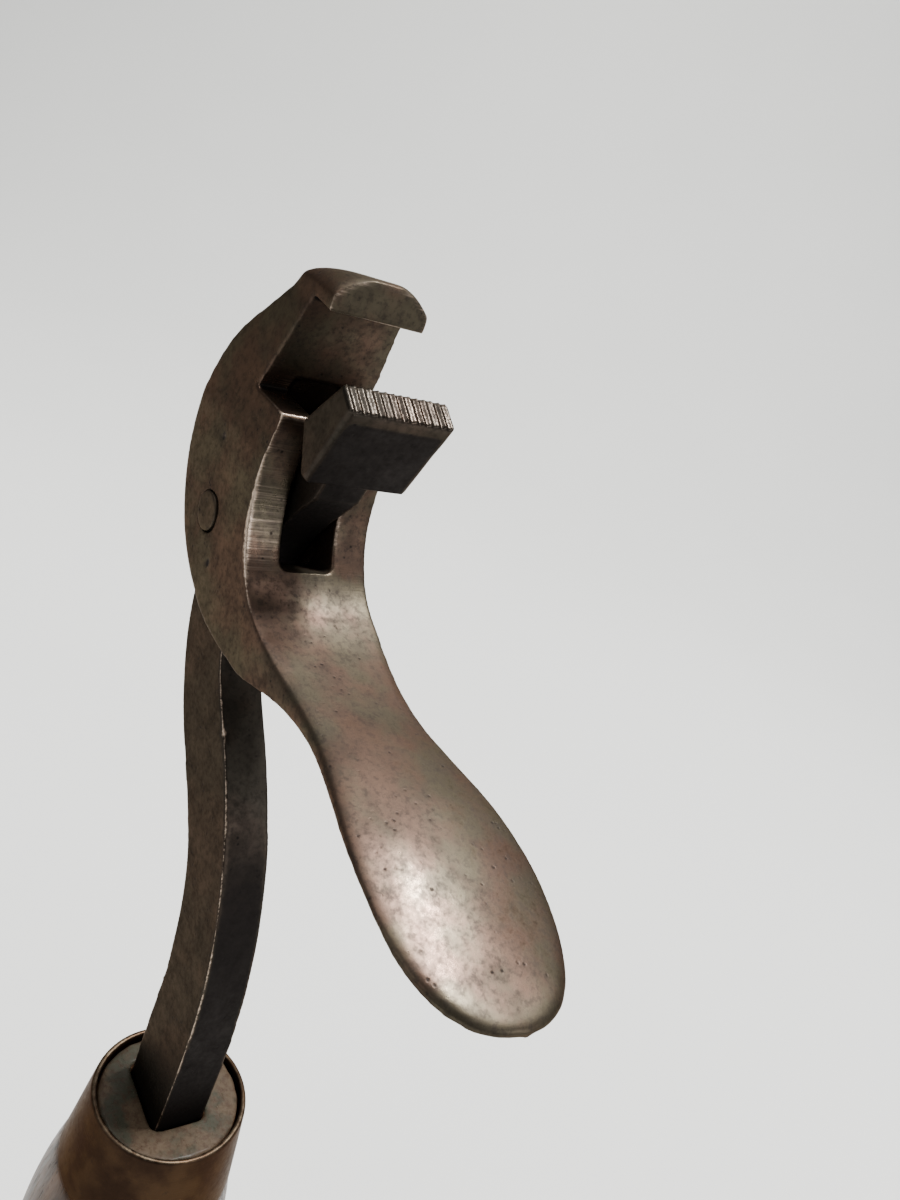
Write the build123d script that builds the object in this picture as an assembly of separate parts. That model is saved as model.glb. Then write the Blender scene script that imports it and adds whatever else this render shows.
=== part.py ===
"""Small self-gripping wrench: a forged hook with a spoon-ended lever swings on a pin through a
toothed jaw bar, and the jaw bar's tang is driven through a turned wooden handle.

Units are millimetres.  +Z runs up the handle, +X is the side that the mouth and the lever face,
and +Y runs along the pivot pin.  The origin is the centre of the handle's flat butt.
Heights in the outlines of the metal parts are measured from the ferrule's rim."""

import os

from build123d import *

# Handle and ferrule
handle_length = 98.0  # butt face to ferrule rim
ferrule_length = 14.0
rim_radius = 11.0
ferrule_flare = 1.7  # growth of the ferrule's radius from rim to foot
ferrule_wall = 0.9
wood_recess = 0.8  # wood end face below the rim
swell_radius = 15.0
waist_radius = 13.2
butt_radius = 14.2
butt_rounding = 4.0
washer_radius = 6.0
washer_thickness = 1.6
pin_shank_radius = 0.8
pin_head_radius = 1.4
pin_head_height = 0.5
pin_clearance = 1.5  # from the pin's tip to the tang

# Jaw bar
bar_width = 6.2  # across the pivot direction, inside the slot
root_width = 7.2  # at the ferrule rim
jaw_width = 13.8
tang_mouth_depth = 10.6
tang_foot_depth = 5.0
tang_foot_width = 4.2
tang_gap = 0.15
root_shift = 0.8  # the bar's root stands this far behind the handle's axis
tooth_count = 13
tooth_depth = 0.55
tooth_margin = 0.35

# Hook frame
frame_width = 16.9
hook_width = 12.9
side_gap = 0.35  # between bar and each cheek
lever_length = 53.0  # from neck to the spoon's tip
lever_trim = 0.8  # blank outside the lever's outline, cut away
neck_width = 15.2
spoon_width = 20.4
slot_corner = 1.0
worn_edge = 0.35

# Pivot
pivot_x = -25.5
pivot_height = 79.5
pivot_radius = 2.5
pivot_running_gap = 0.05

slot_width = bar_width + 2 * side_gap
pin_depth = rim_radius + ferrule_flare / 2 - tang_mouth_depth / 2 - root_shift - pin_clearance
neck_x = -8.0  # where the cheeks end and the lever begins
ledge_height = 97.0
reach = 60.0  # larger than any half width, for cutting bodies


def on_rim(shape):
    """Lift a shape that was drawn from the ferrule rim to its place above the butt."""
    return Pos(0, 0, handle_length) * shape


def side_prism(outline, width):
    """Extrude a closed side outline to a body centred across the pivot direction."""
    face = Plane.XZ * make_face(outline)
    return extrude(face, amount=width / 2, both=True)


def front_prism(outline):
    """Extrude a closed outline seen from the front right through the object."""
    return extrude(Plane.YZ * make_face(outline), amount=reach, both=True)


def mirrored(points):
    """Return the same points on the other side of the middle plane, last one first."""
    return [(-y, z) for y, z in reversed(points)]


# ---------------------------------------------------------------- hook frame


def frame_side_outline():
    """Crescent seen from the side: hook, throat, ledge, cheeks and the start of the lever."""
    hook_top = (-16.3, 114.0)
    hook_lip = (-16.3, 109.2)
    throat_top = (-20.6, 109.5)
    throat_foot = (-24.0, ledge_height)
    ledge_front = (-16.4, ledge_height)
    neck_top = (neck_x, 75.9)
    neck_bottom = (neck_x, 68.0)
    front = Spline(
        ledge_front, (-16.3, 90.0), (-14.4, 82.0), neck_top, tangents=((0.05, -1), (1, -0.42))
    )
    back = Spline(
        neck_bottom, (-17.0, 68.0), (-28.3, 72.3), (-35.2, 81.0), (-36.6, 90.0), (-33.6, 100.7),
        (-26.0, 109.3), hook_top, tangents=((-1, -0.05), (1, 0.15)),
    )
    lips = Polyline(hook_top, hook_lip, throat_top, throat_foot, ledge_front)
    return lips + front + Line(neck_top, neck_bottom) + back


def frame_front_outline():
    """Limit seen from the front: tapering cheeks below a domed hook."""
    half_hook = hook_width / 2
    half_frame = frame_width / 2
    right = [(half_frame, 55.0), (half_frame, 91.0), (half_hook, 109.0), (half_hook, 111.4)]
    left = mirrored(right)
    dome = ThreePointArc(right[-1], (0, 114.2), left[0])
    return Polyline(right) + dome + Polyline(left) + Line(left[-1], right[0])


def slot_side_outline():
    """Room that the jaw bar needs inside the frame over its whole swing."""
    front = -5.0
    return Polyline(
        (-23.9, 98.8), (front, 98.8), (front, 81.6), (-18.2, 77.2), (-14.6, 64.0), (-42.0, 64.0),
        (-42.0, 74.6), (-35.4, 74.6), (-31.7, 80.8), (-30.6, 84.8), (-27.6, 90.6), close=True,
    )


def frame_slot():
    """Cutter for the slot between the two cheeks, with rounded corners at its lower front end."""
    body = side_prism(slot_side_outline(), slot_width)
    floor_edges = [e for e in body.edges() if 77.0 < e.center().Z < 81.5 and e.center().X > -18.3]
    long_edges = [e for e in floor_edges if e.length > 5 and abs(e.center().Y) > slot_width / 4]
    return fillet(long_edges, slot_corner)


def lever_section(share, top, middle, crown):
    """Lens-shaped cross-section at a share of the lever's length, wider than the lever itself."""
    half = spoon_width / 2 + lever_trim
    bottom = top - middle
    right_top = (half, top - crown)
    right_bottom = (half, bottom + crown * 0.4)
    upper = ThreePointArc((-half, right_top[1]), (0, top), right_top)
    lower = ThreePointArc(right_bottom, (0, bottom), (-half, right_bottom[1]))
    left_side = Line((-half, right_bottom[1]), (-half, right_top[1]))
    outline = upper + Line(right_top, right_bottom) + lower + left_side
    place = Plane(origin=(neck_x + share * lever_length, 0, 0), x_dir=(0, 1, 0), z_dir=(1, 0, 0))
    return place * make_face(outline)


def lever_plan():
    """Lever seen from above: neck, spoon and round tip."""
    start = neck_x
    tip = neck_x + lever_length
    right = Spline(
        (start, frame_width / 2), (start + lever_length * 0.3, neck_width / 2),
        (start + lever_length * 0.81, spoon_width / 2), (tip, 0),
        tangents=((1, 0), (0, -1)),
    )
    left = mirror(right, about=Plane.XZ)
    return right + left + Line((start, frame_width / 2), (start, -frame_width / 2))


def lever_body():
    """Thin, crowned lever that ends in a spoon."""
    stations = [
        (0.0, 75.9, 7.9, 0.05), (0.12, 74.3, 5.2, 0.4), (0.3, 73.4, 3.2, 1.1), (0.5, 73.0, 3.0, 1.3),
        (0.7, 71.5, 2.9, 1.35), (0.85, 69.3, 2.7, 1.25), (0.95, 67.8, 2.1, 0.9), (1.02, 66.8, 1.3, 0.5),
    ]
    blade = loft([lever_section(*station) for station in stations])
    plan = extrude(make_face(lever_plan()), amount=200)
    return blade & plan


def make_hook_frame():
    """Hook, throat, cheeks and lever, forged in one piece and slotted for the jaw bar."""
    crescent = side_prism(frame_side_outline(), frame_width) & front_prism(frame_front_outline())
    body = crescent + lever_body() - frame_slot()
    bore = Plane.XZ * Pos(pivot_x, pivot_height) * Circle(pivot_radius)
    return on_rim(body - extrude(bore, amount=frame_width, both=True))


# ---------------------------------------------------------------- jaw bar

jaw_back_top = (-8.0, 104.6)
jaw_front_top = (-4.8, 102.8)
jaw_front_foot = (-9.2, 92.2)
jaw_back_foot = (-10.6, 92.4)
jaw_shoulder = (-13.6, 97.8)


def bar_side_outline():
    """Gooseneck bar seen from the side, from the ferrule rim to the back of the jaw."""
    half_root = tang_mouth_depth / 2
    front = Spline(
        (half_root - root_shift, 0), (4.2, 14.0), (2.2, 28.0), (-3.6, 42.0), (-13.0, 53.5),
        (-20.0, 61.0), (-21.5, 69.0), (-19.6, 77.0), (-11.8, 89.0), tangents=((0, 1), (1, 1.1)),
    )
    back = Spline(
        (-17.5, 94.6), (-27.6, 86.0), (-32.2, 74.0), (-31.8, 60.5), (-23.4, 46.8), (-12.8, 36.0),
        (-8.0, 24.0), (-6.6, 12.0), (-half_root - root_shift, 0),
    )
    head = Polyline((-11.8, 89.0), jaw_back_foot, jaw_shoulder, (-17.5, 94.6))
    return front + head + back + Line((-half_root - root_shift, 0), (half_root - root_shift, 0))


def bar_front_outline():
    """Limit seen from the front: the bar grows thicker towards the ferrule."""
    right = [(root_width / 2, -1.0), (bar_width / 2, 58.0), (bar_width / 2, 120.0)]
    return Polyline(right + mirrored(right), close=True)


def jaw_block():
    """Cross-wise jaw block with ridges over its top."""
    outline = Polyline(
        jaw_back_top, jaw_front_top, jaw_front_foot, jaw_back_foot, jaw_shoulder, close=True
    )
    block = side_prism(outline, jaw_width)
    corners = [e for e in block.edges() if e.length < 15 and abs(e.center().Y) > jaw_width / 3]
    block = chamfer(corners, worn_edge)
    return block - tooth_cutter()


def tooth_cutter():
    """Row of notches side by side over the jaw's top face."""
    middle = ((jaw_back_top[0] + jaw_front_top[0]) / 2, 0, (jaw_back_top[1] + jaw_front_top[1]) / 2)
    along = (jaw_front_top[0] - jaw_back_top[0], 0, jaw_front_top[1] - jaw_back_top[1])
    pitch = (jaw_width - 2 * tooth_margin) / tooth_count
    points = []
    for index in range(tooth_count):
        start = -jaw_width / 2 + tooth_margin + index * pitch
        points += [(start, 0), (start + pitch / 2, -tooth_depth)]
    points.append((jaw_width / 2 - tooth_margin, 0))
    clear = 3.0
    points += [(jaw_width / 2 - tooth_margin, clear), (-jaw_width / 2 + tooth_margin, clear)]
    row = Polyline(points, close=True)
    place = Plane(origin=middle, x_dir=(0, 1, 0), z_dir=along)
    return extrude(place * make_face(row), amount=8, both=True)


def tang_section(height, depth, width):
    """Rectangular cross-section of the tang at a height below the rim."""
    return Pos(-root_shift * (1 + height / handle_length), 0, height) * Rectangle(depth, width)


def tang(gap):
    """Tapering tang from the rim to the butt, made larger all round by a gap."""
    top = tang_section(0, tang_mouth_depth + 2 * gap, root_width + 2 * gap)
    foot = tang_section(-handle_length, tang_foot_depth + 2 * gap, tang_foot_width + 2 * gap)
    return loft([foot, top])


def make_jaw_bar():
    """Toothed jaw, gooseneck bar and tang, forged in one piece and drilled for the pin."""
    bar = side_prism(bar_side_outline(), root_width * 2) & front_prism(bar_front_outline())
    body = bar + jaw_block() + tang(0)
    bore = Plane.XZ * Pos(pivot_x, pivot_height) * Circle(pivot_radius + pivot_running_gap)
    return on_rim(body - extrude(bore, amount=frame_width, both=True))


def make_pivot_pin():
    """Pin peened flush with both cheeks."""
    round_bar = Plane.XZ * Pos(pivot_x, pivot_height) * Circle(pivot_radius)
    return on_rim(extrude(round_bar, amount=frame_width / 2, both=True))


# ---------------------------------------------------------------- handle


def ferrule_pin_place():
    """Plane that faces out of the ferrule's back at half its length."""
    height = handle_length - ferrule_length / 2
    return Plane(origin=(-rim_radius - ferrule_flare / 2, 0, height), z_dir=(-1, 0, 0))


def pin_hole():
    """Cutter for the pin through the ferrule wall and into the wood, with a flat seat for its head."""
    shank = extrude(ferrule_pin_place() * Circle(pin_shank_radius), amount=-pin_depth)
    seat = extrude(ferrule_pin_place() * Circle(pin_head_radius), amount=pin_head_height)
    return shank + seat


def make_ferrule():
    """Flared tube round the handle's upper end."""
    foot = handle_length - ferrule_length
    outer_foot = rim_radius + ferrule_flare
    outline = Polyline(
        (rim_radius - ferrule_wall, handle_length), (rim_radius, handle_length), (outer_foot, foot),
        (outer_foot - ferrule_wall, foot), close=True,
    )
    ring = revolve(Plane.XZ * make_face(outline), Axis.Z)
    rim = ring.edges().filter_by(GeomType.CIRCLE).sort_by(Axis.Z)[-2:]
    return fillet(rim, ferrule_wall * 0.4) - pin_hole()


def make_handle():
    """Turned handle with a mortise for the tang and a seat for the washer."""
    top = handle_length - wood_recess
    foot = handle_length - ferrule_length
    inner_foot = rim_radius + ferrule_flare - ferrule_wall
    inner_top = rim_radius - ferrule_wall + ferrule_flare * wood_recess / ferrule_length
    shoulder = (rim_radius + ferrule_flare, foot)
    butt_top = (butt_radius, butt_rounding)
    swell = Spline(
        shoulder, (swell_radius, handle_length * 0.5), (waist_radius, handle_length * 0.2), butt_top,
        tangents=((0.25, -1), (0, -1)),
    )
    side = RadiusArc(butt_top, (butt_radius - butt_rounding, 0), butt_rounding)
    core = Polyline(
        (butt_radius - butt_rounding, 0), (0, 0), (0, top), (inner_top, top), (inner_foot, foot), shoulder
    )
    wood = revolve(Plane.XZ * make_face(core + swell + side), Axis.Z)
    seat = extrude(Circle(washer_radius), amount=washer_thickness)
    return wood - on_rim(tang(tang_gap)) - seat - pin_hole()


def make_butt_washer():
    """Washer let into the butt, over which the tang's end is peened."""
    disc = extrude(Circle(washer_radius), amount=washer_thickness)
    return disc - on_rim(tang(0))


def make_ferrule_pin():
    """Small round-headed pin that keeps the ferrule on the wood."""
    place = ferrule_pin_place()
    shank = extrude(place * Circle(pin_shank_radius), amount=-pin_depth)
    head = extrude(place * Circle(pin_head_radius), amount=pin_head_height)
    return shank + fillet(head.edges().sort_by(Axis.X)[0], pin_head_height * 0.8)


def main():
    """Write each piece to its own file."""
    pieces = {
        "hook_frame": make_hook_frame(),
        "jaw_bar": make_jaw_bar(),
        "pivot_pin": make_pivot_pin(),
        "ferrule": make_ferrule(),
        "handle": make_handle(),
        "ferrule_pin": make_ferrule_pin(),
        "butt_washer": make_butt_washer(),
    }
    os.makedirs("parts", exist_ok=True)
    for name, piece in pieces.items():
        export_step(piece, f"parts/{name}.step")


main()
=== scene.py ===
"""Looks of a small self-gripping wrench: forged hook and jaw bar, aged ferrule and wooden handle."""

import logging
import math
from dataclasses import dataclass, field
from enum import Enum

import bmesh
import bpy
import numpy as np
from mathutils import Matrix, Vector, noise


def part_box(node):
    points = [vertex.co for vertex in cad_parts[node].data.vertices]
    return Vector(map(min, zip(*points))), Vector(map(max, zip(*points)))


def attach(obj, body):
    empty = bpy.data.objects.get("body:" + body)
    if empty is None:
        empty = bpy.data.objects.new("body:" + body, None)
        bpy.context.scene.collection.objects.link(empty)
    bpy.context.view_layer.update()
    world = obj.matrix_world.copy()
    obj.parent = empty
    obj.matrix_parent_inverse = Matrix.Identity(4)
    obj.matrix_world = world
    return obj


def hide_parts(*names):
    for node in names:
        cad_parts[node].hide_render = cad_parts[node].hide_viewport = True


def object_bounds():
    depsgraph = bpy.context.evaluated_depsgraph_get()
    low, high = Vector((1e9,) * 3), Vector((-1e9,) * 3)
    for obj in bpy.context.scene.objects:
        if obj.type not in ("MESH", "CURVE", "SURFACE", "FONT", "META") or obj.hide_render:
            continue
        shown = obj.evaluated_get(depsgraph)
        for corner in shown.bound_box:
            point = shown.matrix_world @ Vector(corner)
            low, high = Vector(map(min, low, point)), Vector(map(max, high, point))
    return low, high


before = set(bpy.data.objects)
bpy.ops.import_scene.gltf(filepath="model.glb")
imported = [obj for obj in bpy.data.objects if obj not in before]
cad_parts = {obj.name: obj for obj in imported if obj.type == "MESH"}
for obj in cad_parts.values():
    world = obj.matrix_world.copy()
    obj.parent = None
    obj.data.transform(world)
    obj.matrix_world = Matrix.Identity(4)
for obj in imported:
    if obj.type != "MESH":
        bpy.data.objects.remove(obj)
cad_low, cad_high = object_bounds()

log = logging.getLogger("wrench")
MM = 0.001


class Mask(Enum):
    """Names of the values that a mesh carries at each point for its finish."""

    WEAR = "wear"
    # Grimy hollows together with painted shade.
    GRIME_AND_SHADE = "grime_and_shade"
    # Polished spots together with painted highlights and a painted reflection.
    POLISH_AND_SHEEN = "polish_and_sheen"
    SCRATCH = "scratch"


# ---------------------------------------------------------------- shader helpers


class Value:
    """A number that varies over a surface: one output socket with arithmetic."""

    def __init__(self, graph: "Graph", socket: bpy.types.NodeSocket) -> None:
        """Wrap an output socket.

        Args:
            graph: the graph that the socket is in.
            socket: the output socket.
        """
        self.graph = graph
        self.socket = socket

    def _math(self, operation: str, first: object, second: object) -> "Value":
        """Add a Math node.

        Args:
            operation: Blender's name for the operation.
            first: left-hand value or number.
            second: right-hand value or number.

        Returns:
            The result as a new value.
        """
        node = self.graph.node("ShaderNodeMath", {"operation": operation}, {0: first, 1: second})
        return Value(self.graph, node.outputs[0])

    def __add__(self, other: object) -> "Value":
        """Sum."""
        return self._math("ADD", self, other)

    def __radd__(self, other: object) -> "Value":
        """Sum with a number on the left."""
        return self._math("ADD", other, self)

    def __sub__(self, other: object) -> "Value":
        """Difference."""
        return self._math("SUBTRACT", self, other)

    def __rsub__(self, other: object) -> "Value":
        """Difference with a number on the left."""
        return self._math("SUBTRACT", other, self)

    def __mul__(self, other: object) -> "Value":
        """Product."""
        return self._math("MULTIPLY", self, other)

    def ramp(self, low: float, high: float) -> "Value":
        """Stretch to 0..1 between two levels, smoothly and clamped.

        Args:
            low: level that becomes 0.
            high: level that becomes 1.

        Returns:
            The stretched value.
        """
        settings = {"interpolation_type": "SMOOTHSTEP"}
        inputs = {"Value": self, "From Min": low, "From Max": high}
        return Value(self.graph, self.graph.node("ShaderNodeMapRange", settings, inputs).outputs[0])


class Graph:
    """The node tree of one material."""

    def __init__(self, name: str) -> None:
        """Make an empty material with a Principled shader.

        Args:
            name: name of the material.
        """
        self.material = bpy.data.materials.new(name)
        self.material.use_nodes = True
        self.nodes = self.material.node_tree.nodes
        self.links = self.material.node_tree.links
        self.nodes.clear()
        self.shader = self.nodes.new("ShaderNodeBsdfPrincipled")
        output = self.nodes.new("ShaderNodeOutputMaterial")
        self.links.new(self.shader.outputs[0], output.inputs[0])
        self.place = self.node("ShaderNodeTexCoord", {}, {}).outputs["Object"]

    def node(self, kind: str, settings: dict, inputs: dict) -> bpy.types.Node:
        """Add a node.

        Args:
            kind: Blender's type name of the node.
            settings: properties that are set before the inputs.
            inputs: numbers, vectors, sockets or values by input name or index.

        Returns:
            The new node.
        """
        node = self.nodes.new(kind)
        for key, setting in settings.items():
            setattr(node, key, setting)
        for key, given in inputs.items():
            self.feed(node.inputs[key], given)
        return node

    def feed(self, socket: bpy.types.NodeSocket, given: object) -> None:
        """Give an input socket a link or a plain value.

        Args:
            socket: input socket.
            given: a Value, an output socket, or a number or vector.
        """
        if isinstance(given, Value):
            self.links.new(given.socket, socket)
        elif isinstance(given, bpy.types.NodeSocket):
            self.links.new(given, socket)
        else:
            socket.default_value = given

    def stretched(self, scale: tuple[float, float, float]) -> bpy.types.NodeSocket:
        """Stretch the object's coordinates.

        Args:
            scale: factor for each axis.

        Returns:
            The socket of the stretched position.
        """
        inputs = {0: self.place, 1: scale}
        return self.node("ShaderNodeVectorMath", {"operation": "MULTIPLY"}, inputs).outputs[0]

    def noise(self, size_mm: float, detail: float = 4.0, stretch: tuple[float, float, float] = (1, 1, 1),
              rough: float = 0.55) -> Value:
        """Cloudy noise.

        Args:
            size_mm: size of its blotches in millimetres.
            detail: number of finer layers.
            stretch: how many times longer the blotches are along each axis.
            rough: weight of the finer layers.

        Returns:
            The noise, mostly between 0.25 and 0.75.
        """
        scale = tuple(1 / (size_mm * MM * s) for s in stretch)
        inputs = {"Vector": self.stretched(scale), "Scale": 1.0, "Detail": detail, "Roughness": rough}
        return Value(self, self.node("ShaderNodeTexNoise", {}, inputs).outputs["Fac"])

    def cells(self, size_mm: float) -> Value:
        """Distance to the nearest of many scattered points, for pits and specks.

        Args:
            size_mm: mean distance of those points.

        Returns:
            The distance, 0 at a point.
        """
        inputs = {"Vector": self.stretched((1, 1, 1)), "Scale": 1 / (size_mm * MM)}
        return Value(self, self.node("ShaderNodeTexVoronoi", {}, inputs).outputs["Distance"])

    def mask(self, mask: Mask) -> Value:
        """Read a value that the mesh carries at its points.

        Args:
            mask: which value.

        Returns:
            The value.
        """
        node = self.node("ShaderNodeAttribute", {"attribute_name": mask.value}, {})
        return Value(self, node.outputs["Fac"])

    def blend(self, share: object, first: object, second: object) -> bpy.types.NodeSocket:
        """Mix two colours.

        Args:
            share: 0 for the first colour and 1 for the second.
            first: colour or socket.
            second: colour or socket.

        Returns:
            The mixed colour's socket.
        """
        node = self.node("ShaderNodeMix", {"data_type": "RGBA"}, {})
        self.feed(node.inputs[0], share)
        self.feed(node.inputs[6], first)
        self.feed(node.inputs[7], second)
        return node.outputs[2]

    def finish(self, colour: object, roughness: object, metallic: object, height: Value,
               depth_mm: float, coat: float = 0.0) -> bpy.types.Material:
        """Connect the shader.

        Args:
            colour: base colour.
            roughness: roughness.
            metallic: metallic share.
            height: relief, 0 to 1.
            depth_mm: height of that relief in millimetres.
            coat: constant clear coat.

        Returns:
            The finished material.
        """
        bump = self.node("ShaderNodeBump", {}, {"Strength": 1.0, "Distance": depth_mm * MM, "Height": height})
        self.feed(self.shader.inputs["Base Color"], colour)
        self.feed(self.shader.inputs["Roughness"], roughness)
        self.feed(self.shader.inputs["Metallic"], metallic)
        self.feed(self.shader.inputs["Coat Weight"], coat)
        self.feed(self.shader.inputs["Coat Roughness"], 0.25)
        self.feed(self.shader.inputs["Specular IOR Level"], 0.35)
        self.feed(self.shader.inputs["Specular Tint"], (0.52, 0.46, 0.42, 1))
        self.feed(self.shader.inputs["Normal"], bump.outputs[0])
        return self.material


Colour = tuple[float, float, float, float]


@dataclass(frozen=True)
class ForgedSteel:
    """Old forged steel: brown patina, mottled, pitted, bright where hands and work have rubbed it, with
    painted highlights and painted shade.
    """

    name: str
    dark: Colour = (0.022, 0.018, 0.016, 1)
    olive: Colour = (0.062, 0.052, 0.036, 1)
    plum: Colour = (0.080, 0.043, 0.033, 1)
    bright: Colour = (0.58, 0.45, 0.355, 1)
    # Near-black for grimy hollows, pits and painted shade.
    shade_and_soot: Colour = (0.005, 0.004, 0.004, 1)
    mottle: float = 0.5
    broad_mm: float = 9.0
    cloud_mm: float = 3.2
    fine_mm: float = 0.75
    mark_mm: float = 0.16
    pit_mm: float = 0.95
    relief_mm: float = 0.045

    def make(self) -> bpy.types.Material:
        """Build the material.

        Returns:
            The finished material.
        """
        g = Graph(self.name)
        broad = g.noise(self.broad_mm, 5.0)
        cloud = g.noise(self.cloud_mm, 5.0, rough=0.6)
        fine = g.noise(self.fine_mm, 6.0, rough=0.7)
        marks = g.noise(self.mark_mm, 3.0, stretch=(5, 70, 1)) * g.mask(Mask.SCRATCH)
        spots = (1 - g.cells(self.pit_mm).ramp(0.06, 0.30)) * cloud.ramp(0.50, 0.62)
        wear = g.mask(Mask.WEAR)
        polish_and_sheen = g.mask(Mask.POLISH_AND_SHEEN)
        # Rubbed corners and polished spots lighten the colour; some of these spots paint highlights and a
        # reflection.
        rubbed = wear * (fine * 2.4 + cloud - 0.75) + polish_and_sheen * (cloud + fine * 1.6) * 0.16
        rubbed = (rubbed + (marks - 0.55) * 0.7).ramp(0.08, 0.90)
        patina = g.blend(broad.ramp(0.40, 0.60) * self.mottle, self.olive, self.plum)
        patina = g.blend(cloud.ramp(0.36, 0.68) * 0.42, patina, self.dark)
        patina = g.blend(fine.ramp(0.46, 0.64) * 0.50, patina, self.dark)
        colour = g.blend(rubbed, patina, self.bright)
        # Darkening from grimy hollows and pits, plus painted shade from the pieces.
        dirt_and_shade = (g.mask(Mask.GRIME_AND_SHADE).ramp(0.05, 0.8) * 0.92 + spots * 0.7).ramp(0.0, 1.0)
        dirt_and_shade = dirt_and_shade * (1 - rubbed)
        colour = g.blend(dirt_and_shade, colour, self.shade_and_soot)
        roughness = 0.47 + (fine - 0.5) * 0.48 + (cloud - 0.5) * 0.42
        roughness = roughness + dirt_and_shade * 0.20 - polish_and_sheen * 0.17 - rubbed * 0.08
        height = fine * 0.30 + broad * 0.35 + cloud * 0.25 - spots * 0.5 + marks * 0.4
        return g.finish(colour, roughness, 0.90 - dirt_and_shade * 0.35, height, self.relief_mm)


@dataclass(frozen=True)
class AgedBrass:
    """Brown brass with a rubbed rim."""

    name: str
    brown: Colour = (0.020, 0.011, 0.007, 1)
    gold: Colour = (0.052, 0.030, 0.016, 1)
    bright: Colour = (0.62, 0.52, 0.36, 1)
    black: Colour = (0.012, 0.009, 0.007, 1)
    blotch_mm: float = 5.0
    fine_mm: float = 0.9
    turning_mm: float = 0.25
    relief_mm: float = 0.03

    def make(self) -> bpy.types.Material:
        """Build the material.

        Returns:
            The finished material.
        """
        g = Graph(self.name)
        blotch = g.noise(self.blotch_mm, 5.0)
        fine = g.noise(self.fine_mm, 6.0, rough=0.7)
        turning = g.noise(self.turning_mm, 2.0, stretch=(40, 40, 1))
        colour = g.blend(blotch.ramp(0.35, 0.68) * (0.4 + fine * 0.6), self.brown, self.gold)
        rubbed = (g.mask(Mask.WEAR) * (0.4 + fine)).ramp(0.2, 0.9)
        colour = g.blend(rubbed, colour, self.bright)
        dirt_and_shade = (g.mask(Mask.GRIME_AND_SHADE) + fine.ramp(0.56, 0.7) * 0.5).ramp(0.1, 1.0)
        colour = g.blend(dirt_and_shade, colour, self.black)
        roughness = 0.40 + (fine - 0.5) * 0.4 + dirt_and_shade * 0.2 - rubbed * 0.14
        height = fine * 0.5 + turning * 0.3
        return g.finish(colour, roughness, 0.9 - dirt_and_shade * 0.3, height, self.relief_mm)


@dataclass(frozen=True)
class OldWood:
    """Hand-darkened hardwood: grain along the handle, rings and stains on its end."""

    name: str
    light: Colour = (0.090, 0.045, 0.023, 1)
    dark: Colour = (0.028, 0.014, 0.008, 1)
    pore: Colour = (0.008, 0.005, 0.004, 1)
    end_grain: Colour = (0.052, 0.036, 0.022, 1)
    end_stain: Colour = (0.022, 0.022, 0.014, 1)
    end_level_mm: float = 96.9
    band_mm: float = 2.4
    hair_mm: float = 0.5
    cloud_mm: float = 16.0
    speck_mm: float = 1.0
    stain_mm: float = 5.0
    relief_mm: float = 0.06

    def make(self) -> bpy.types.Material:
        """Build the material.

        Returns:
            The finished material.
        """
        g = Graph(self.name)
        bands = g.noise(self.band_mm, 4.0, stretch=(1, 1, 22))
        hair = g.noise(self.hair_mm, 3.0, stretch=(1, 1, 36), rough=0.6)
        cloud = g.noise(self.cloud_mm, 4.0)
        speck = g.noise(self.speck_mm, 5.0, rough=0.7)
        side = g.blend(bands.ramp(0.34, 0.66), self.light, self.dark)
        side = g.blend(hair.ramp(0.58, 0.70) * 0.8, side, self.pore)
        side = g.blend(cloud.ramp(0.45, 0.75) * 0.55, side, self.dark)
        stain = g.noise(self.stain_mm, 4.0).ramp(0.44, 0.60)
        end = g.blend(stain, self.end_grain, self.end_stain)
        end = g.blend(speck.ramp(0.45, 0.62) * 0.6, end, self.dark)
        z = Value(g, g.node("ShaderNodeSeparateXYZ", {}, {0: g.place}).outputs[2])
        is_end = z.ramp((self.end_level_mm - 0.3) * MM, self.end_level_mm * MM)
        colour = g.blend(is_end, side, end)
        grime_and_shade = g.mask(Mask.GRIME_AND_SHADE).ramp(0.08, 0.8)
        colour = g.blend(grime_and_shade * 0.8, colour, self.pore)
        roughness = 0.42 + (hair - 0.5) * 0.5 + is_end * 0.3 + grime_and_shade * 0.15
        height = 1 - hair.ramp(0.55, 0.72) * 0.8 + bands * 0.2 + speck * is_end
        return g.finish(colour, roughness, 0.0, height, self.relief_mm, coat=0.05)


@dataclass(frozen=True)
class StudioPaper:
    """Pale, slightly uneven paper of the floor and backdrop."""

    name: str = "pale_floor"
    tone: Colour = (0.66, 0.665, 0.645, 1)
    cool: Colour = (0.72, 0.72, 0.70, 1)

    def make(self) -> bpy.types.Material:
        """Build the material.

        Returns:
            The finished material.
        """
        g = Graph(self.name)
        tone = g.blend(g.noise(180.0, 2.0), self.tone, self.cool)
        return g.finish(tone, 0.85, 0.0, g.noise(3.0, 2.0), 0.02)


# ---------------------------------------------------------------- mesh helpers


def mesh_arrays(mesh: bpy.types.Mesh) -> tuple[np.ndarray, np.ndarray]:
    """Points and edges of a mesh.

    Args:
        mesh: the mesh.

    Returns:
        Array of points and array of point pairs.
    """
    points = np.empty(len(mesh.vertices) * 3, np.float64)
    mesh.vertices.foreach_get("co", points)
    edges = np.empty(len(mesh.edges) * 2, np.int64)
    mesh.edges.foreach_get("vertices", edges)
    return points.reshape(-1, 3), edges.reshape(-1, 2)


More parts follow.
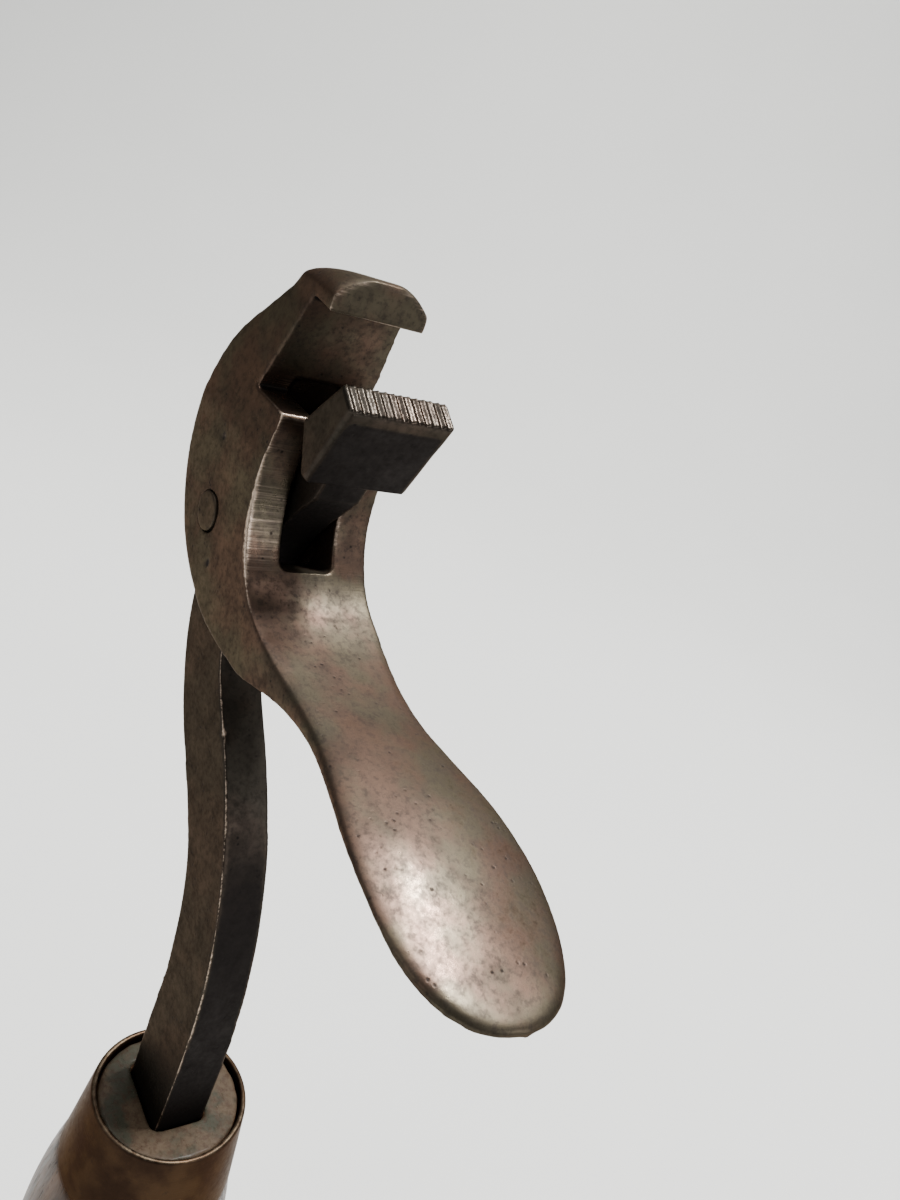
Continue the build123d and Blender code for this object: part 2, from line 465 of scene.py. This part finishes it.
def relax(values: np.ndarray, edges: np.ndarray, rounds: int, share: float = 0.6) -> np.ndarray:
    """Average each point's values with its neighbours' some times over.

    Args:
        values: one row for each point.
        edges: pairs of neighbours.
        rounds: number of passes.
        share: how far a point goes to its neighbours' mean in a pass.

    Returns:
        The relaxed values.
    """
    first, second = edges[:, 0], edges[:, 1]
    count = np.bincount(first, minlength=len(values)) + np.bincount(second, minlength=len(values))
    count = np.maximum(count, 1)[:, None]
    for _ in range(rounds):
        total = np.empty_like(values)
        for axis in range(values.shape[1]):
            column = values[:, axis]
            total[:, axis] = np.bincount(first, column[second], len(values)) + np.bincount(
                second, column[first], len(values)
            )
        values = values * (1 - share) + total / count * share
    return values


def normals_of(mesh: bpy.types.Mesh) -> np.ndarray:
    """Normals at the points of a mesh.

    Args:
        mesh: the mesh.

    Returns:
        One normal for each point.
    """
    normals = np.empty(len(mesh.vertices) * 3, np.float64)
    mesh.vertices.foreach_get("normal", normals)
    return normals.reshape(-1, 3)


def write_mask(mesh: bpy.types.Mesh, mask: Mask, values: np.ndarray) -> None:
    """Store one value for each point of a mesh.

    Args:
        mesh: the mesh.
        mask: name of the value.
        values: the values, which are clipped to 0..1.
    """
    attribute = mesh.attributes.get(mask.value) or mesh.attributes.new(mask.value, "FLOAT", "POINT")
    attribute.data.foreach_set("value", np.clip(values, 0, 1).astype(np.float32))


def step(values: np.ndarray, low: float, high: float) -> np.ndarray:
    """Smooth rise from 0 to 1 between two levels.

    Args:
        values: the values.
        low: level that becomes 0.
        high: level that becomes 1.

    Returns:
        The share for each value.
    """
    share = np.clip((values - low) / (high - low), 0, 1)
    return share * share * (3 - 2 * share)


class Origin(Enum):
    """Point of a node's box, on its middle plane, that a patch is measured from."""

    BACK_TOP = "back_top"
    TIP_FOOT = "tip_foot"
    AXIS_TOP = "axis_top"

    def of(self, box: tuple[Vector, Vector]) -> np.ndarray:
        """Where this point is on a box.

        Args:
            box: low and high corner of the node's box.

        Returns:
            The point, in metres.
        """
        low, high = box
        places = {
            Origin.BACK_TOP: (low.x, 0, high.z),
            Origin.TIP_FOOT: (high.x, 0, low.z),
            Origin.AXIS_TOP: (0, 0, high.z),
        }
        return np.array(places[self])


@dataclass(frozen=True)
class Patch:
    """Soft spot on a piece: its middle from an origin, and its reach along each axis, in millimetres."""

    along: float
    across: float
    up: float
    reach: tuple[float, float, float]
    origin: Origin = Origin.BACK_TOP

    def share(self, box: tuple[Vector, Vector], points: np.ndarray) -> np.ndarray:
        """How deep each point is in the patch.

        Args:
            box: low and high corner of the box of the node that the patch is on.
            points: the points, in metres.

        Returns:
            One share for each point, 1 in the middle.
        """
        centre = self.origin.of(box) + np.array((self.along, self.across, self.up)) * MM
        away = (points - centre) / (np.array(self.reach) * MM)
        return np.exp(-(away**2).sum(axis=1))


def dent(along: float, across: float, up: float) -> Patch:
    """Small dent.

    Args:
        along: place along X from the handle's axis, in millimetres.
        across: place along Y, in millimetres.
        up: height over the node's top, in millimetres.

    Returns:
        The dent as a patch.
    """
    return Patch(along, across, up, (0.6, 0.6, 0.8), Origin.AXIS_TOP)


@dataclass
class WornPiece:
    """A piece made from a CAD node: fine even skin, rubbed corners, hand-made unevenness and wear masks."""

    node: str
    body: str
    slot: str
    grain_mm: float
    soften: int = 3
    uneven_mm: float = 0.05
    uneven_size_mm: float = 7.0
    extra_rounds: int = 0
    nicks: tuple[Patch, ...] = ()
    nick_depth_mm: float = 0.2
    normal_rounds: int = 10
    share_rounds: int = 12
    mask_reach_mm: float = 2.2
    bulge_unit_mm: float = 0.1
    hollow_dirt: float = 1.2
    base_wear: float = 0.35
    piece: bpy.types.Object | None = field(default=None, init=False)

    def build(self) -> bpy.types.Object:
        """Make the mesh and put it on its body.

        Returns:
            The new piece.
        """
        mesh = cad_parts[self.node].data.copy()
        self.piece = bpy.data.objects.new(f"{self.node}_skin", mesh)
        bpy.context.scene.collection.objects.link(self.piece)
        self._close(mesh)
        self._even_skin()
        self._shape()
        self._masks()
        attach(self.piece, self.body)
        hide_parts(self.node)
        log.info("%s: %d faces", self.piece.name, len(self.piece.data.polygons))
        return self.piece

    def _close(self, mesh: bpy.types.Mesh) -> None:
        """Join the seams between the faces of the node's mesh.

        Args:
            mesh: the mesh.
        """
        work = bmesh.new()
        work.from_mesh(mesh)
        bmesh.ops.remove_doubles(work, verts=work.verts, dist=0.001 * MM)
        work.to_mesh(mesh)
        work.free()

    def _even_skin(self) -> None:
        """Replace the mesh by an even one of small faces."""
        remesh = self.piece.modifiers.new("skin", "REMESH")
        remesh.mode = "VOXEL"
        remesh.voxel_size = self.grain_mm * MM
        remesh.use_smooth_shade = True
        ready = self.piece.evaluated_get(bpy.context.evaluated_depsgraph_get())
        mesh = bpy.data.meshes.new_from_object(ready)
        self.piece.modifiers.clear()
        self.piece.data = mesh

    def _shape(self) -> None:
        """Round the corners and add the unevenness of hand work, inside the node's box."""
        mesh = self.piece.data
        points, edges = mesh_arrays(mesh)
        low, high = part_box(self.node)
        points = points + (relax(points, edges, self.soften) - points) * self.blunt(points)[:, None]
        normals = normals_of(mesh)
        if self.extra_rounds:
            smooth = relax(normals, edges, self.normal_rounds)
            share = relax(self.softness(points, smooth)[:, None], edges, self.share_rounds)
            points = points + (relax(points, edges, self.extra_rounds) - points) * share
        size = self.uneven_size_mm * MM
        wave = np.array([noise.noise(Vector(p) / size) for p in points])
        depth = (wave * 0.5 - 0.5) * self.uneven_mm * MM
        depth = depth * self.uneven_share(points) - self.nicked(points) * self.nick_depth_mm * MM
        points = points + normals * depth[:, None]
        points = np.clip(points, np.array(low), np.array(high))
        mesh.vertices.foreach_set("co", points.astype(np.float32).ravel())
        mesh.update()
        mesh.shade_smooth()

    def nicked(self, points: np.ndarray) -> np.ndarray:
        """Share of each point in the piece's small bright dents.

        Args:
            points: the points.

        Returns:
            One share for each point.
        """
        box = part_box(self.node)
        share = np.zeros(len(points))
        for nick in self.nicks:
            share = share + nick.share(box, points)
        return np.clip(share, 0, 1)

    def uneven_share(self, points: np.ndarray) -> np.ndarray:
        """How much of the unevenness each point gets."""
        return np.ones(len(points))

    def blunt(self, points: np.ndarray) -> np.ndarray:
        """How much of the plain rounding each point gets."""
        return np.ones(len(points))

    def softness(self, points: np.ndarray, normals: np.ndarray) -> np.ndarray:
        """How much of the extra rounding each point gets."""
        return np.zeros(len(points))

    def _masks(self) -> None:
        """Store where the piece is rubbed, dirty and polished, and where it gets painted shade and painted
        highlights.
        """
        mesh = self.piece.data
        points, edges = mesh_arrays(mesh)
        rounds = max(6, int(round(self.mask_reach_mm / self.grain_mm)))
        normals = normals_of(mesh)
        bulge = ((points - relax(points, edges, rounds)) * normals).sum(axis=1)
        bulge = bulge / (self.bulge_unit_mm * MM)
        write_mask(mesh, Mask.WEAR, bulge * self.wear(points, normals) + self.nicked(points))
        # Grimy hollows plus the painted shade that each piece adds.
        write_mask(mesh, Mask.GRIME_AND_SHADE, -bulge * self.hollow_dirt + self.shade_and_soot(points, normals))
        # Polished spots, some of which paint highlights and a reflection.
        write_mask(mesh, Mask.POLISH_AND_SHEEN, self.polish_and_sheen(points, normals))
        write_mask(mesh, Mask.SCRATCH, self.scratches(points, normals))

    def wear(self, points: np.ndarray, normals: np.ndarray) -> np.ndarray:
        """How bright the corners are rubbed at each point."""
        return np.full(len(points), self.base_wear)

    def shade_and_soot(self, points: np.ndarray, normals: np.ndarray) -> np.ndarray:
        """How much painted shade each point gets, besides its hollows."""
        return np.zeros(len(points))

    def polish_and_sheen(self, points: np.ndarray, normals: np.ndarray) -> np.ndarray:
        """How polished each point is by hands or work, including where highlights are painted."""
        return np.zeros(len(points))

    def scratches(self, points: np.ndarray, normals: np.ndarray) -> np.ndarray:
        """How strongly fine marks across the piece show at each point."""
        return np.zeros(len(points))

    def dress(self, material: bpy.types.Material) -> None:
        """Give the whole piece one material."""
        self.piece.data.materials.clear()
        self.piece.data.materials.append(material)


@dataclass
class HookFrame(WornPiece):
    """Hook, cheeks and spoon lever: soft spoon and back, crisp throat, rubbed by hands and work, with painted
    highlights and painted shade.

    Depths run along X from the node's back and drops run down from its top, in millimetres.
    """

    base_wear: float = 0.05
    bore_crisp: tuple[float, float] = (2.9, 3.3)
    spoon_depths: tuple[float, float] = (26.0, 42.0)
    back_depth: float = 16.0
    back_blend: float = 3.0
    crown_drops: tuple[float, float] = (9.0, 3.0)
    slot_half: float = 3.6
    slot_drops: tuple[float, float, float] = (20.0, 31.9, 31.6)
    dark_back: float = 8.0
    filed_drops: tuple[float, float] = (68.0, 52.0)
    filed_depth: float = 30.0
    filed_blend: float = 6.0
    # Worn corners; the ledge and near front edge patches also paint highlights there.
    worn_and_highlit_corners: tuple[tuple[float, Patch], ...] = (
        (1.2, Patch(19.5, -5.5, -17, (3, 3, 2))),
        (1.5, Patch(23, -8.4, -31, (7, 1.6, 11))),
        (0.6, Patch(20, 0, -4, (5, 9, 4))),
        (0.7, Patch(22, 4, -30, (3, 1.2, 3))),
    )
    # Polished spots on the spoon that also paint its two highlights.
    spoon_polish_highlights: tuple[tuple[float, Patch], ...] = (
        (0.30, Patch(-14, 0, 5, (15, 12, 12), Origin.TIP_FOOT)),
        (0.85, Patch(-15.0, -5.5, 4, (4.2, 2.8, 12), Origin.TIP_FOOT)),
        (0.85, Patch(-6.8, -6.5, 4, (4.2, 2.8, 12), Origin.TIP_FOOT)),
    )
    # The front patch paints a highlight and the throat patch a copper reflection, both as polished spots.
    front_polish_highlight: Patch = Patch(23, -6, -30, (6, 6, 14))
    throat_polish_reflection: Patch = Patch(14, -4, -16.5, (5, 6, 2))

    def _sum(self, weighted: tuple[tuple[float, Patch], ...], points: np.ndarray) -> np.ndarray:
        """Add up patches.

        Args:
            weighted: each patch with its weight.
            points: the points.

        Returns:
            The sum for each point.
        """
        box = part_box(self.node)
        return sum(weight * patch.share(box, points) for weight, patch in weighted)

    def blunt(self, points: np.ndarray) -> np.ndarray:
        """The bore's edges stay sharp, so that the pin sits flush.

        Args:
            points: the points.

        Returns:
            How much of the plain rounding each point gets.
        """
        low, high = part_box("pivot_pin")
        away = np.hypot(points[:, 0] - (low.x + high.x) / 2, points[:, 2] - (low.z + high.z) / 2)
        return step(away, self.bore_crisp[0] * MM, self.bore_crisp[1] * MM)

    def softness(self, points: np.ndarray, normals: np.ndarray) -> np.ndarray:
        """The spoon, the back and the hook's top are rounded more than the throat and the slot.

        Args:
            points: the points.
            normals: the normals there.

        Returns:
            How much of the extra rounding each point gets.
        """
        low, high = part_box(self.node)
        depth, drop = points[:, 0] - low.x, high.z - points[:, 2]
        spoon = step(depth, self.spoon_depths[0] * MM, self.spoon_depths[1] * MM)
        back = step(self.back_depth * MM - depth, 0.0, self.back_blend * MM)
        back = back * step(-normals[:, 0], -0.05, 0.5)
        top = step(-drop, -self.crown_drops[0] * MM, -self.crown_drops[1] * MM)
        top = top * step(normals[:, 2], 0.1, 0.5)
        return np.maximum(spoon, np.maximum(back, top) * 0.8)

    def wear(self, points: np.ndarray, normals: np.ndarray) -> np.ndarray:
        """Corners are worn bright along the front of the cheeks, at the ledge and round the hook's face; at
        the ledge and the near front edge this paints highlights.
        """
        return self.base_wear + self._sum(self.worn_and_highlit_corners, points)

    def shade_and_soot(self, points: np.ndarray, normals: np.ndarray) -> np.ndarray:
        """Painted shade darkens the slot's inside and the faces that look down, and the back is darker.

        Args:
            points: the points.
            normals: the normals there.

        Returns:
            How dark each point is, besides its hollows.
        """
        low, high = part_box(self.node)
        depth, drop = points[:, 0] - low.x, high.z - points[:, 2]
        top, foot, foot_blend = (value * MM for value in self.slot_drops)
        # Painted shade inside the slot.
        inside = step(self.slot_half * MM - np.abs(points[:, 1]), 0, 0.15 * MM)
        inside = inside * step(drop - top, 0, MM) * step(-drop, -foot, -foot_blend)
        inside = inside * (1 - step(-normals[:, 0], 0.1, 0.4))
        back = step(self.dark_back * MM - depth, 0, self.dark_back * MM)
        # Painted shade under faces that look down; a little darker towards the back.
        return inside * 0.6 + step(-normals[:, 2], 0.3, 0.9) * 0.3 + back * 0.1

    def polish_and_sheen(self, points: np.ndarray, normals: np.ndarray) -> np.ndarray:
        """Spoon, front of the cheeks and throat are polished, with painted highlights on the spoon and the
        cheeks' front and a painted reflection on the throat.

        Args:
            points: the points.
            normals: the normals there.

        Returns:
            How polished each point is, painted highlights and reflection included.
        """
        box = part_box(self.node)
        up = np.clip(normals @ np.array([0.4, 0, 0.9]), 0, 1)
        front = self.front_polish_highlight.share(box, points) * np.clip(normals[:, 0], 0, 1)
        throat = self.throat_polish_reflection.share(box, points) * 1.1
        return self._sum(self.spoon_polish_highlights, points) * up + front + throat

    def scratches(self, points: np.ndarray, normals: np.ndarray) -> np.ndarray:
        """File marks run across the front of the cheeks.

        Args:
            points: the points.
            normals: the normals there.

        Returns:
            How strongly the marks show at each point.
        """
        low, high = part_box(self.node)
        depth, drop = points[:, 0] - low.x, high.z - points[:, 2]
        front = step(-drop, -self.filed_drops[0] * MM, -self.filed_drops[1] * MM)
        front = front * step(normals[:, 0], 0.4, 0.8)
        return front * step(self.filed_depth * MM - depth, 0, self.filed_blend * MM)


@dataclass
class JawBar(WornPiece):
    """Toothed jaw, gooseneck bar and tang. Drops run down from the node's top, in millimetres."""

    base_wear: float = 0.07
    ridge_drops: tuple[float, float] = (4.0, 3.0)
    polish_drops: tuple[float, float] = (3.2, 2.0)
    even_drops: tuple[float, float] = (4.0, 6.0)
    corner_across: tuple[float, float] = (1.5, 3.0)
    corner_drops: tuple[float, float] = (25.0, 35.0)
    dark_drops: tuple[float, float] = (20.0, 80.0)

    def _drop(self, points: np.ndarray) -> np.ndarray:
        """How far each point is below the node's top, in millimetres."""
        return (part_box(self.node)[1].z - points[:, 2]) / MM

    def _on_ridges(self, points: np.ndarray) -> np.ndarray:
        """Share of each point in the ridged top."""
        return step(-self._drop(points), -self.ridge_drops[0], -self.ridge_drops[1])

    def softness(self, points: np.ndarray, normals: np.ndarray) -> np.ndarray:
        """The ridges are worn round."""
        return self._on_ridges(points)

    def wear(self, points: np.ndarray, normals: np.ndarray) -> np.ndarray:
        """The ridges and the bar's near front corner are rubbed.

        Args:
            points: the points.
            normals: the normals there.

        Returns:
            How bright the corners are rubbed at each point.
        """
        corner = step(-points[:, 1] / MM, *self.corner_across) * step(normals[:, 0], 0.2, 0.6)
        corner = corner * step(self._drop(points), *self.corner_drops)
        return self.base_wear + self._on_ridges(points) * 0.08 + corner * 0.8

    def shade_and_soot(self, points: np.ndarray, normals: np.ndarray) -> np.ndarray:
        """Painted shade makes faces that look forward nearly black, the bar is darker downwards and the
        ridges are clean.

        Args:
            points: the points.
            normals: the normals there.

        Returns:
            How dark each point is painted besides its hollows, mostly painted shade.
        """
        # Painted shade on faces that look forward; darker towards the bottom; none on the ridges.
        forward = step(normals @ np.array([0.94, 0, -0.34]), 0.35, 0.95)
        below = step(self._drop(points), *self.dark_drops)
        return forward * 0.85 - self._on_ridges(points) * 0.9 + below * 0.10

    def polish_and_sheen(self, points: np.ndarray, normals: np.ndarray) -> np.ndarray:
        """The ridged top of the jaw is rubbed bright.

        Args:
            points: the points.
            normals: the normals there.

        Returns:
            How polished each point is.
        """
        low, high = self.polish_drops
        top = np.clip((low - self._drop(points)) / (low - high), 0, 1)
        return top * np.clip(normals @ np.array([0.49, 0, 0.87]), 0, 1) ** 0.5 * 2.4

    def uneven_share(self, points: np.ndarray) -> np.ndarray:
        """The ridges stay even."""
        low, high = self.even_drops
        return np.clip((self._drop(points) - low) / (high - low), 0, 1)


@dataclass
class Wrench:
    """The whole tool: its metal head, ferrule and handle."""

    hook_body: str = "hook_and_lever"
    grip_body: str = "handle_and_bar"

    def forgings(self) -> list[tuple[WornPiece, ForgedSteel]]:
        """The two forgings and the steel that each is dressed in.

        Returns:
            Each piece with its finish.
        """
        hook = HookFrame(
            "hook_frame", self.hook_body, "forged_hook_steel", 0.26, uneven_mm=0.22, extra_rounds=45,
            nicks=(dent(-27.2, -8.4, -25.1), dent(-21.6, -8.4, -39.7)),
        )
        bar = JawBar(
            "jaw_bar", self.grip_body, "forged_bar_steel", 0.23, soften=2, uneven_mm=0.16, extra_rounds=2,
            nicks=(dent(-13.4, -3.1, -50.7),),
        )
        hook_steel = ForgedSteel("hook_steel", mottle=0.6)
        bar_steel = ForgedSteel(
            "bar_steel", olive=(0.030, 0.026, 0.021, 1), dark=(0.015, 0.013, 0.011, 1), mottle=0.15
        )
        return [(hook, hook_steel), (bar, bar_steel)]

    def fittings(self) -> list[tuple[WornPiece, object]]:
        """The small metal pieces, the ferrule and the handle.

        Returns:
            Each piece with its finish.
        """
        plain = ForgedSteel("fitting_steel", mottle=0.2)
        brass, wood = AgedBrass("ferrule_brass"), OldWood("handle_wood")
        return [
            (WornPiece("pivot_pin", self.hook_body, "pin_steel", 0.15, 1, 0.0), plain),
            (WornPiece("ferrule", self.grip_body, "ferrule_brass", 0.24, 2, 0.06), brass),
            (WornPiece("handle", self.grip_body, "handle_wood", 0.6, 2, 0.3, 14.0), wood),
            (WornPiece("ferrule_pin", self.grip_body, "pin_steel", 0.12, 2, 0.02), plain),
            (WornPiece("butt_washer", self.grip_body, "washer_steel", 0.22, 2, 0.05), plain),
        ]

    def build(self) -> None:
        """Make and dress every piece."""
        for piece, finish in self.forgings() + self.fittings():
            piece.build()
            piece.dress(finish.make())


# ---------------------------------------------------------------- studio


@dataclass(frozen=True)
class Lamp:
    """Soft lamp: its place, its length along X and its width in metres, and its power in watts."""

    name: str
    at: tuple[float, float, float]
    size: tuple[float, float]
    power: float

    def hang(self, target: Vector) -> None:
        """Add the lamp to the scene.

        Args:
            target: point that the lamp faces.
        """
        data = bpy.data.lights.new(self.name, "AREA")
        data.shape = "RECTANGLE"
        data.size, data.size_y = self.size
        data.energy = self.power
        lamp = bpy.data.objects.new(self.name, data)
        ahead = (target - Vector(self.at)).normalized()
        across = ahead.cross(Vector((1, 0, 0))).normalized()
        turn = Matrix((across.cross(ahead), -across, -ahead)).transposed().to_4x4()
        lamp.matrix_world = Matrix.Translation(self.at) @ turn
        bpy.context.scene.collection.objects.link(lamp)


@dataclass
class Studio:
    """Pale floor that sweeps up behind the tool, soft lamps and the camera."""

    floor_half: float = 1.6
    sweep_start: float = 0.55
    sweep_radius: float = 0.5
    sweep_height: float = 2.0
    camera_at: tuple[float, float, float] = (0.08301, -0.06428, 0.23133)
    look: tuple[float, float, float] = (-0.6756, 0.6176, -0.4027)
    up: tuple[float, float, float] = (-0.5415, -0.0450, 0.8395)
    lens_mm: float = 31.5
    room_colour: Colour = (0.80, 0.81, 0.79, 1)
    room_strength: float = 0.38
    lamp_aim: tuple[float, float] = (0.01, 0.85)
    sweep_steps: int = 16
    sheet_half: float = 2.5
    lamps: tuple[Lamp, ...] = (
        Lamp("window", (-0.083, 0.355, 1.038), (0.13, 0.10), 13.0),
        Lamp("second_window", (0.065, 0.315, 1.054), (0.09, 0.07), 8.0),
        Lamp("long_window", (-0.10, 0.48, 0.98), (1.2, 0.16), 3.6),
        Lamp("ceiling", (-0.3, -0.1, 1.3), (0.9, 0.9), 10),
        Lamp("front", (1.00, 0.48, 0.55), (0.5, 0.5), 4.5),
        Lamp("fill", (0.2, -1.0, 0.6), (0.7, 0.7), 2.5),
    )

    def floor(self) -> None:
        """Lay the floor and its sweep as one curved sheet, square to the camera's view."""
        ahead = Vector((self.look[0], self.look[1], 0)).normalized()
        side = Vector((ahead.y, -ahead.x, 0))
        line = [(-self.floor_half, 0.0), (self.sweep_start, 0.0)]
        for count in range(1, self.sweep_steps + 1):
            turn = math.pi / 2 * count / self.sweep_steps
            away = self.sweep_start + self.sweep_radius * math.sin(turn)
            line.append((away, self.sweep_radius * (1 - math.cos(turn))))
        line.append((self.sweep_start + self.sweep_radius, self.sweep_height))
        half = self.sheet_half
        points = [ahead * d + side * s + Vector((0, 0, z)) for d, z in line for s in (-half, half)]
        faces = [(2 * i, 2 * i + 1, 2 * i + 3, 2 * i + 2) for i in range(len(line) - 1)]
        mesh = bpy.data.meshes.new("floor")
        mesh.from_pydata([tuple(p) for p in points], [], faces)
        mesh.shade_smooth()
        mesh.materials.append(StudioPaper().make())
        sheet = bpy.data.objects.new("floor", mesh)
        bpy.context.scene.collection.objects.link(sheet)

    def light(self) -> None:
        """Soft lamps above and beside, and an even pale surrounding."""
        along, share_of_height = self.lamp_aim
        for lamp in self.lamps:
            lamp.hang(Vector((along, 0, cad_high.z * share_of_height)))
        world = bpy.data.worlds.new("room")
        world.use_nodes = True
        background = world.node_tree.nodes["Background"]
        background.inputs[0].default_value = self.room_colour
        background.inputs[1].default_value = self.room_strength
        bpy.context.scene.world = world

    def camera(self) -> None:
        """Place the camera over the front of the head, turned as a hand holds it."""
        look, up = Vector(self.look).normalized(), Vector(self.up)
        right = look.cross(up).normalized()
        up = right.cross(look)
        turn = Matrix((right, up, -look)).transposed().to_4x4()
        data = bpy.data.cameras.new("camera")
        data.lens = self.lens_mm
        data.clip_start = 0.01
        camera = bpy.data.objects.new("camera", data)
        camera.matrix_world = Matrix.Translation(self.camera_at) @ turn
        bpy.context.scene.collection.objects.link(camera)
        bpy.context.scene.camera = camera

    def build(self) -> None:
        """Set up floor, lamps and camera."""
        self.floor()
        self.light()
        self.camera()


def main() -> None:
    """Build the studio and the wrench."""
    logging.basicConfig(level=logging.INFO)
    Studio().build()
    Wrench().build()


if __name__ == "__main__":
    main()
